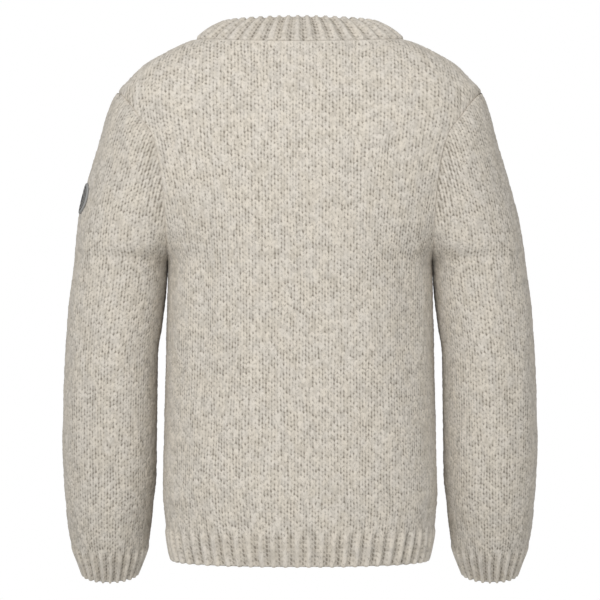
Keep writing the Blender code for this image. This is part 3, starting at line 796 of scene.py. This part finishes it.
def makeWool(name, shade):
    material, tree = newMaterial(name)
    stitchMap, shadeTone = tree.nodes.new("ShaderNodeUVMap"), tree.nodes.new("ShaderNodeAttribute")
    stitchMap.uv_map, shadeTone.attribute_name = "knit", "shadeTone"
    place = tree.nodes.new("ShaderNodeTexCoord")
    heather = tree.nodes.new("ShaderNodeGroup")
    heather.node_tree = heatherGroup
    feed(tree, heather, dict(
        Stitch=stitchMap.outputs[0], Place=place.outputs["Object"], Tone=shadeTone.outputs["Fac"],
        Light=[value * shade for value in wool["light"]],
        Middle=[value * shade for value in wool["middle"]],
        Dark=[value * shade for value in wool["dark"]],
    ))
    setSurface(tree, wool, heather.outputs["Color"], heather.outputs["Height"])
    feed(tree, tree.nodes["Principled BSDF"], {
        "Sheen Weight": wool["sheen"], "Sheen Roughness": wool["sheenRoughness"],
        "Sheen Tint": wool["sheenTint"],
    })
    return material


heatherGroup = makeHeatherGroup()
bodyWool = makeWool("bodyWool", 1.0)
# the sleeves and the ribs take darker copies of the same wool, as painted shade
sleeveWoolShaded = makeWool("sleeveWoolShaded", 0.97)
ribWoolShaded = makeWool("ribWoolShaded", 0.96)
print("wool materials made")


# The back and the front
panel = dict(
    haze=0.60, hazeTone=0.74,       # the stitches close up towards this tone
    hazeOver=0.075, hazeFade=0.060,         # this far from the side seams, and from the armpit down
    neckMargin=0.02,        # the neck seam's groove runs on this far past its end
    flat=dict(back=(0.486, 0.705), front=(0.486, 0.700)),
    area=dict(back=0.312, front=0.295),
    bands=(0.895, 0.025),
)


def layPanel(side, outside):
    skin, heights = bodySkin[side], bodyHeights

    def placeAcross(wales, z):
        girth = np.interp(np.minimum(z, body["armpit"]), heights, skin["length"])
        even = wales * (girth / body["wales"])
        lean = body["fan"] * smoothStep((z - body["fanFrom"]) / (body["shoulder"] - body["fanFrom"]))
        return even + lean * np.sign(wales) * (even / body["fanOver"]) ** 2

    def reach(across, z):
        return np.interp(z, heights, skin["reach"])

    def pointAt(across, z):
        x, y = readSkin(skin, np.minimum(np.abs(across), reach(across, z)), z)
        return stack(np.copysign(x, across), y, z)

    neckX, _, neckZ = neckline(side, np.linspace(np.pi / 2, 0.0, 900))
    sections = skin["x"][np.clip(np.searchsorted(heights, neckZ), 0, len(heights) - 1)]
    share = [np.interp(x, section, np.linspace(0, 1, arcSteps)) for x, section in zip(neckX, sections)]
    neckAcross = share * np.interp(neckZ, heights, skin["length"])

    def neckLimit(across, margin=0.0):
        under = np.abs(across) < neckAcross[-1] + margin
        return np.where(under, np.interp(np.abs(across), neckAcross, neckZ), 1.0)

    halfWales = body["wales"] + body["spareWales"]
    fields = layStitches(body, halfWales, heights, outside, placeAcross, pointAt)
    across, z = fields["across"], fields["z"]
    trimRows(fields, reach, across.shape[1] // 2)
    trimColumns(fields, neckLimit)

    x, y = readSkin(skin, across, z)
    x, y = np.copysign(x, across), sideSign[side] * y
    toSide = np.maximum(reach(across, z) - np.abs(across), 0.0)
    toArmhole = np.hypot(toSide, np.maximum(body["armpit"] - z, 0.0))
    toNeck = np.maximum(neckLimit(across, panel["neckMargin"]) - z, 0.0)
    onShoulder = z >= body["shoulder"]
    normal = bodyNormal(side, x, y, z)
    normal[..., 1] *= 1 - bell(toSide, seamShape["leanOver"]) * (onShoulder | (z <= body["armpit"]))
    lean = leanAt(side, z) * stack(np.where(across < 0, -1.0, 1.0), 1.0, 1.0)
    seamShare = bell(toArmhole, seamShape["leanOver"]) * ~onShoulder
    return fields, stack(x, y, z), unit(mix(unit(normal), lean, seamShare[..., None])), toSide, toNeck


def shapeSide(fields, points, normal, dips, toEdge, outside):
    # moves the laid points out to the stitches or in to the plain inner side
    along = fields["v"] * knit["course"]
    edge = np.clip(along / seamShape["roll"], 0.0, 1.0)
    rounded = np.sqrt(1 - (1 - edge) ** 2)
    relief, shadeTone = clothRelief(fields["u"], fields["v"], fields["rib"], fields["free"])
    flatten = smoothStep(toEdge / seamShape["flatOver"])
    half = knit["wall"] / 2
    if outside:
        offset = (relief * flatten + half) * rounded - half
    else:
        shadeTone = knit["innerTone"]
        offset = -half - half * rounded
    placed = points + normal * (offset - dips)[..., None]
    onKnit = np.cos(np.pi * (fields["u"] - 0.5))
    placed[..., 2] -= knit["scallop"] * onKnit * bell(along, knit["scallopOver"])
    return placed, mix(seamShape["seamTone"], shadeTone, flatten)


def makePanel(side):
    def lay(outside):
        fields, points, normal, toSide, toNeck = layPanel(side, outside)
        dips = foldDepth(side, fields["across"], fields["z"])
        dips += grooveAt(toSide) + seamShape["neckGroove"] * grooveAt(toNeck)
        placed, shadeTone = shapeSide(fields, points, normal, dips, np.minimum(toSide, toNeck), outside)
        placed[..., 1] += sideSign[side] * knit["seamGap"] / 2
        haze = panel["haze"] * (1 - smoothStep(toSide / panel["hazeOver"]))
        haze = haze * smoothStep((body["armpit"] - fields["z"]) / panel["hazeFade"])
        corners = [placed[0, 0], placed[0, -1], placed[-1, -1], placed[-1, 0]]
        return fields, placed, mix(shadeTone, panel["hazeTone"], haze), [corners]

    return makeCloth(side, panel["bands"], lay)


for side in ("back", "front"):
    piece = finishPiece(f"{side}Knit", makePanel(side), bodyWool, side)


# The sleeves
sleeveCloth = dict(
    flat=(0.425, 0.655), area=0.210,
    bands=(0.892, 0.0130),
    # the right sleeve is pulled in a little at its top: how far, at what height, and over how much
    pullIn=0.0046, pullAt=-0.163, pullOver=0.098,
    # a soft valley runs down beside the armhole seam and is darkened with painted shade, and the sleeve's
    # crown is raised at the seam
    valley=0.0030, valleyAt=0.009, valleyWidth=0.014, valleyShade=0.16,
    valleyTop=-0.085, valleyTopFade=0.080, valleyEnd=-0.265, valleyEndFade=0.050,
    crown=0.0014, crownFrom=-0.120, crownFade=0.030, crownWidth=0.010,
    gapNear=0.01,           # so near the armhole seam the sleeve keeps the seam's gap
)


def laySleeve(outside):
    def sideReach(across, z):
        return np.where(across >= 0, sleeveReach("back", z), sleeveReach("front", z))

    def seamReach(across, z):
        return sideReach(across, z) + 1e-9                # the outermost wales lie on the seam itself

    def placeAcross(wales, z):
        return wales * (sleeveReach("back", np.minimum(z, body["armpit"])) / sleeve["wales"])

    def pointAt(across, z):
        across = np.clip(across, -sleeveReach("front", z), sleeveReach("back", z))
        points = stack(*readSleeve(across, z), z)
        return bendForward(points, points)[0]

    fields = layStitches(sleeve, sleeve["wales"], sleeveHeights, outside, placeAcross, pointAt)
    across, z = fields["across"], fields["z"]
    trimRows(fields, seamReach, across.shape[1] // 2)
    points, normal = onSleeve(across, z)
    for column in (0, -1):                                # the first and last wale meet under the arm
        under = z[:, column] <= body["armpit"] + sleeve["nearArmpit"]
        points[under, column, 1] = normal[under, column, 1] = 0.0
    toSide = np.maximum(sideReach(across, z) - np.abs(across), 0.0)
    toArmhole = np.hypot(toSide, np.maximum(body["armpit"] - z, 0.0))
    lean = np.where((across >= 0)[..., None], leanAt("back", z), leanAt("front", z))
    seamShare = bell(toArmhole, seamShape["leanOver"])[..., None]
    return fields, points, unit(mix(unit(normal), lean, seamShare)), toSide, toArmhole


def makeSleeve(mirrored):
    def lay(outside):
        fields, points, normal, toSide, toArmhole = laySleeve(outside)
        z = fields["z"]
        inCap = z > body["armpit"]
        valley = smoothStep((sleeveCloth["valleyTop"] - z) / sleeveCloth["valleyTopFade"])
        valley = valley * smoothStep((z - sleeveCloth["valleyEnd"]) / sleeveCloth["valleyEndFade"])
        valley = valley * bell(toArmhole - sleeveCloth["valleyAt"], sleeveCloth["valleyWidth"])
        crown = smoothStep((z - sleeveCloth["crownFrom"]) / sleeveCloth["crownFade"])
        crown = crown * bell(toSide, sleeveCloth["crownWidth"])
        dips = grooveAt(toArmhole) + seamShape["sleeveGroove"] * grooveAt(toSide) * ~inCap
        dips += sleeveCloth["valley"] * valley - sleeveCloth["crown"] * crown
        bent, turned = bendForward(points, normal)
        placed, shadeTone = shapeSide(fields, bent, turned, dips, np.where(inCap, toSide, toArmhole), outside)
        placed[..., 0] += (inCap | (toArmhole < sleeveCloth["gapNear"])) * knit["seamGap"] / 2
        if mirrored:
            seam = armholeX(z)
            outward = smoothStep((points[..., 0] - seam) / np.maximum(sleeveOuter(z) - seam, 1e-6))
            height = (z - sleeveCloth["pullAt"]) / sleeveCloth["pullOver"]
            placed[..., 0] -= sleeveCloth["pullIn"] * outward * np.exp(-(height**4))
            placed[..., 0] *= -1
        middle, last = placed.shape[1] // 2, placed.shape[1] - 1
        cuff = [placed[0, k] for k in (0, middle // 2, middle, last - middle // 2)]
        armpitRow = np.argmax(inCap[:, 0])
        halfUp = np.argmin(np.abs(z[:, 0] - (body["armpit"] + body["shoulder"]) / 2))
        armhole = [placed[armpitRow, 0], placed[halfUp, 0], placed[-1, middle], placed[halfUp, last]]
        # the valley is darkened with painted shade
        return fields, placed, shadeTone - sleeveCloth["valleyShade"] * valley, [cuff, armhole]

    return makeCloth("sleeve", sleeveCloth["bands"], lay)


for name, node, mirrored in (
    ("leftSleeveKnit", "sleeve_left", False),
    ("rightSleeveKnit", "sleeve_right", True),
):
    piece = finishPiece(name, makeSleeve(mirrored), sleeveWoolShaded, node)


# The neckband's cloth
bandCloth = dict(
    flat=(0.650, 0.046), bakeArea=(0.005, 0.005, 0.99, 0.99),
    upRows=24, overRows=5, downRows=17,     # mesh rows up the outside, over the edge and down inside
    innerRelief=0.7,        # the inner side's ribs are flatter
    seamRelief=0.15, seamTone=0.42, seamGroove=0.6,         # what is left of ribs and groove at the seam, and the tone of the painted shade there
    edgeFlat=0.65,          # and how much flatter the ribs are on the free edge
)


def closed(ring):
    return np.concatenate([ring, ring[:1]])


def makeNeckband():
    wales = 2 * neckband["ribs"]
    columns = wales * knit["waleColumns"]
    turn = np.linspace(np.pi, 0.0, 1201)
    halves = []
    for side, order in (("back", 1), ("front", -1)):
        x, y, z = neckline(side, turn)
        topX = neckband["topHalfWidth"] * np.cos(turn)
        topY = neckband["topDepth"][side] * np.sin(turn)
        topZ = neckband["topZ"] + neckband["topRise"][side] * np.sin(turn) ** neckband["rounding"]
        curves = (stack(x, sideSign[side] * y, z), stack(topX, sideSign[side] * topY, topZ))
        halves.append([evenPoints(curve, columns // 2 + 1)[::order][:-1] for curve in curves])
    lower, upper = (np.concatenate(pair) for pair in zip(*halves))
    rise = unit(upper - lower)
    around = np.roll(upper + lower, -1, axis=0) - np.roll(upper + lower, 1, axis=0)
    outward = unit(np.cross(rise, around))
    outward *= np.sign(np.sum(outward * lower, axis=-1))[:, None]
    lower, upper, rise, outward = (closed(ring) for ring in (lower, upper, rise, outward))

    # the section goes up the outer side, over the edge, down the inner side and back
    upRows, overRows, downRows = (bandCloth[name] for name in ("upRows", "overRows", "downRows"))
    height = np.concatenate([
        np.linspace(0.0, 1.0, upRows + 1), np.ones(overRows - 1),
        np.linspace(1.0, 0.0, downRows - 1), np.zeros(2)])[:, None]
    turnOver = np.pi * np.clip((np.arange(len(height))[:, None] - upRows) / overRows, 0.0, 1.0)
    inner, onTop = turnOver > np.pi / 2, np.sin(turnOver)
    u, v = np.arange(columns + 1) / knit["waleColumns"], height * neckband["courses"]
    relief, shadeTone = clothRelief(u % wales, v, 1.0, 0.0)
    innerRelief, innerTone = clothRelief((u + 1.0) % wales, v, 1.0, 0.0)
    fromSeam = smoothStep(v * knit["course"] / seamShape["flatOver"])
    relief = np.where(inner, bandCloth["innerRelief"] * innerRelief, relief)
    relief = relief * mix(bandCloth["seamRelief"], 1.0, fromSeam) * (1 - bandCloth["edgeFlat"] * onTop)
    shadeTone = mix(bandCloth["seamTone"], np.where(inner, innerTone, shadeTone), fromSeam)
    half = neckband["wall"] / 2
    bulge = neckband["bulge"] * np.sin(np.pi * height) * (1 - neckband["flatSides"] * outward[:, 0] ** 2)
    out = np.cos(turnOver) * half - half + bulge + relief * np.where(inner, -1.0, 1.0)
    out = out - bandCloth["seamGroove"] * seamShape["groove"] * (1 - fromSeam) * ~inner
    up = onTop * (half + relief / 2) + knit["seamGap"]

    place = ((u + widenPurl(u)) * knit["waleColumns"]) % columns
    column = np.floor(place).astype(int) % columns

    def ring(values):
        return mix(values[column], values[column + 1], (place - np.floor(place))[:, None])

    points = mix(ring(lower), ring(upper), height[..., None])
    points = points + ring(outward) * out[..., None] + ring(rise) * up[..., None]
    rows = np.arange(len(height) + 1)[:, None] / 2
    return gridMesh(closed(points), u, rows, closed(shadeTone), bandCloth["bakeArea"])


piece = finishPiece("neckbandRib", makeNeckband(), ribWoolShaded, "neckband")


# The round patch on the left sleeve. Its rings are shares of its radius.
patch = dict(
    radius=0.020, thickness=0.0020, lift=0.0004, z=-0.207, towardsBack=0.018,
    sides=64,
    # the upper side from the middle out: share of the radius, height over the top
    upper=((0.0, 0.0003), (0.25, 0.0003), (0.5, 0.0002), (0.72, 0.0001), (0.77, -0.0003),
           (0.83, 0.0002), (0.93, 0.0001), (0.98, -0.0005), (1.0, -0.0011)),
    under=(0.995, 0.9, 0.5, 0.0),
    bakeRadius=0.235,
    border=(0.77, 0.79), dashRing=(0.58, 0.70), plainRing=(0.30, 0.44), ringBlur=0.03, plainShare=0.6,
    dashes=30, dashRange=(0.13, 0.20),
    edgeColor=(0.270, 0.268, 0.262), fieldColor=(0.045, 0.046, 0.050), threadColor=(0.50, 0.48, 0.44),
    fuzz=((1.0, 1.0, 1.0), 1600.0, 3.0, 0.7), fuzzRange=(0.45, 0.75), fuzzShare=0.35,
    fuzzColor=(0.30, 0.29, 0.28),
    bump=0.5, bumpDepth=0.0004, roughness=0.85, specular=0.2,
)


def wrapOnSleeve(mesh):
    # a flat piece made round the origin is laid on the sleeve, its height standing out
    flat = np.array([vert.co for vert in mesh.verts])
    points, normal = bendForward(*onSleeve(flat[:, 0] + patch["towardsBack"], flat[:, 1] + patch["z"]))
    for vert, point in zip(mesh.verts, points + normal * flat[:, 2:]):
        vert.co = point


def makePatch():
    mesh = bmesh.new()
    low, radius = patch["lift"], patch["radius"]
    section = [(share * radius, low + patch["thickness"] + height) for share, height in patch["upper"]]
    section += [(share * radius, low) for share in patch["under"]]
    verts = [mesh.verts.new((x, 0.0, z)) for x, z in section]
    edges = [mesh.edges.new(pair) for pair in zip(verts, verts[1:])]
    bmesh.ops.spin(mesh, geom=verts + edges, cent=(0, 0, 0), axis=(0, 0, 1), angle=2 * math.pi,
                   steps=patch["sides"], use_merge=True)
    bmesh.ops.remove_doubles(mesh, verts=mesh.verts[:], dist=1e-6)
    bmesh.ops.recalc_face_normals(mesh, faces=mesh.faces[:])
    disc, bake = mesh.loops.layers.uv.new("disc"), mesh.loops.layers.uv.new("OFBake")
    for face in mesh.faces:
        bakeMiddle = 0.75 if face.normal.z < -0.5 else 0.25
        for loop in face.loops:
            x, y = loop.vert.co.x / radius, loop.vert.co.y / radius
            loop[disc].uv = (x, y)
            loop[bake].uv = (bakeMiddle + patch["bakeRadius"] * x, 0.5 + patch["bakeRadius"] * y)
    wrapOnSleeve(mesh)
    return mesh


def addRing(tree, radius, inner, outer):
    rising = addRamp(tree, radius, inner, inner + patch["ringBlur"])
    falling = addRamp(tree, radius, outer, outer - patch["ringBlur"])
    return addMath(tree, "MULTIPLY", rising, falling)


def makePatchMaterial():
    material, tree = newMaterial("patchFelt")
    disc = tree.nodes.new("ShaderNodeUVMap")
    disc.uv_map = "disc"
    place = tree.nodes.new("ShaderNodeTexCoord")
    length = tree.nodes.new("ShaderNodeVectorMath")
    length.operation = "LENGTH"
    feed(tree, length, {0: disc.outputs[0]})
    radius = length.outputs["Value"]
    split = addNode(tree, "ShaderNodeSeparateXYZ", {0: disc.outputs[0]})
    turn = addMath(tree, "ARCTAN2", split.outputs[1], split.outputs[0])
    turn = addMath(tree, "MULTIPLY", turn, patch["dashes"] / (2 * math.pi))
    dash = addRamp(tree, addMath(tree, "PINGPONG", turn, 0.5), *patch["dashRange"])
    stitched = addMath(tree, "MULTIPLY", addRing(tree, radius, *patch["dashRing"]), dash)
    plain = addMath(tree, "MULTIPLY", addRing(tree, radius, *patch["plainRing"]), patch["plainShare"])
    thread = addMath(tree, "MAXIMUM", stitched, plain)
    color = addMix(tree, thread, patch["fieldColor"], patch["threadColor"])
    color = addMix(tree, addRamp(tree, radius, *patch["border"]), color, patch["edgeColor"])
    fuzz = addNoise(tree, place.outputs["Object"], patch["fuzz"])
    hairs = addRamp(tree, fuzz, *patch["fuzzRange"], patch["fuzzShare"])
    setSurface(tree, patch, addMix(tree, hairs, color, patch["fuzzColor"]), fuzz)
    return material


piece = finishPiece("sleevePatch", makePatch(), makePatchMaterial(), "sleeve_patch")


# The camera stands behind the sweater, level with its middle
studio = dict(
    sensor=36.0, distance=3.5, height=-0.338,
    across=0.780,           # the camera sees this width at the middle of the garment
    floor=-0.95, floorSize=3.2, floorColor=(0.80, 0.80, 0.79), floorRoughness=0.8,
    keyPlace=(0.70, 2.50, 1.00), keySize=1.8, keyPower=56.0,
    fillPlace=(-1.9, 2.0, 0.2), fillSize=2.0, fillPower=9.0,
    white=(1.0, 1.0, 1.0), skyLight=0.54, backdropLight=1.0,
)

camera = bpy.data.cameras.new("camera")
camera.sensor_width = studio["sensor"]
camera.lens = studio["sensor"] * studio["distance"] / studio["across"]
cameraObject = addObject("camera", camera)
cameraObject.location = (0.0, studio["distance"], studio["height"])
cameraObject.rotation_euler = (math.pi / 2, 0.0, math.pi)
bpy.context.scene.camera = cameraObject


def addSoftbox(name, place, size, power):
    light = bpy.data.lights.new(name, "AREA")
    light.size, light.energy = size, power
    holder = addObject(name, light)
    holder.location = place
    aim = Vector((0.0, 0.0, studio["height"])) - Vector(place)
    holder.rotation_euler = aim.to_track_quat("-Z", "Y").to_euler()


addSoftbox("keyLight", studio["keyPlace"], studio["keySize"], studio["keyPower"])
addSoftbox("fillLight", studio["fillPlace"], studio["fillSize"], studio["fillPower"])

floorMesh = bmesh.new()
bmesh.ops.create_grid(floorMesh, x_segments=1, y_segments=1, size=studio["floorSize"] / 2)
bmesh.ops.translate(floorMesh, verts=floorMesh.verts[:], vec=(0.0, 0.0, studio["floor"]))
floorData = bpy.data.meshes.new("floor")
floorMesh.to_mesh(floorData)
floorMesh.free()
floor = addObject("floor", floorData)
floorMaterial, tree = newMaterial("palePaint")
feed(tree, tree.nodes["Principled BSDF"], {
    "Base Color": studio["floorColor"], "Roughness": studio["floorRoughness"],
})
floorData.materials.append(floorMaterial)

# The camera sees a white backdrop, and the cloth is lit by a dimmer sky
world = bpy.data.worlds.new("studio")
world.use_nodes = True
bpy.context.scene.world = world
tree = world.node_tree
sky, backdrop = tree.nodes["Background"], tree.nodes.new("ShaderNodeBackground")
feed(tree, sky, dict(Color=studio["white"], Strength=studio["skyLight"]))
feed(tree, backdrop, dict(Color=studio["white"], Strength=studio["backdropLight"]))
seen = tree.nodes.new("ShaderNodeLightPath").outputs["Is Camera Ray"]
either = addNode(tree, "ShaderNodeMixShader", {0: seen, 1: sky.outputs[0], 2: backdrop.outputs[0]})
feed(tree, tree.nodes["World Output"], dict(Surface=either.outputs[0]))
bpy.context.scene.view_settings.view_transform = "Standard"
bpy.context.scene.view_settings.look = "None"
print("camera, floor and lights placed")
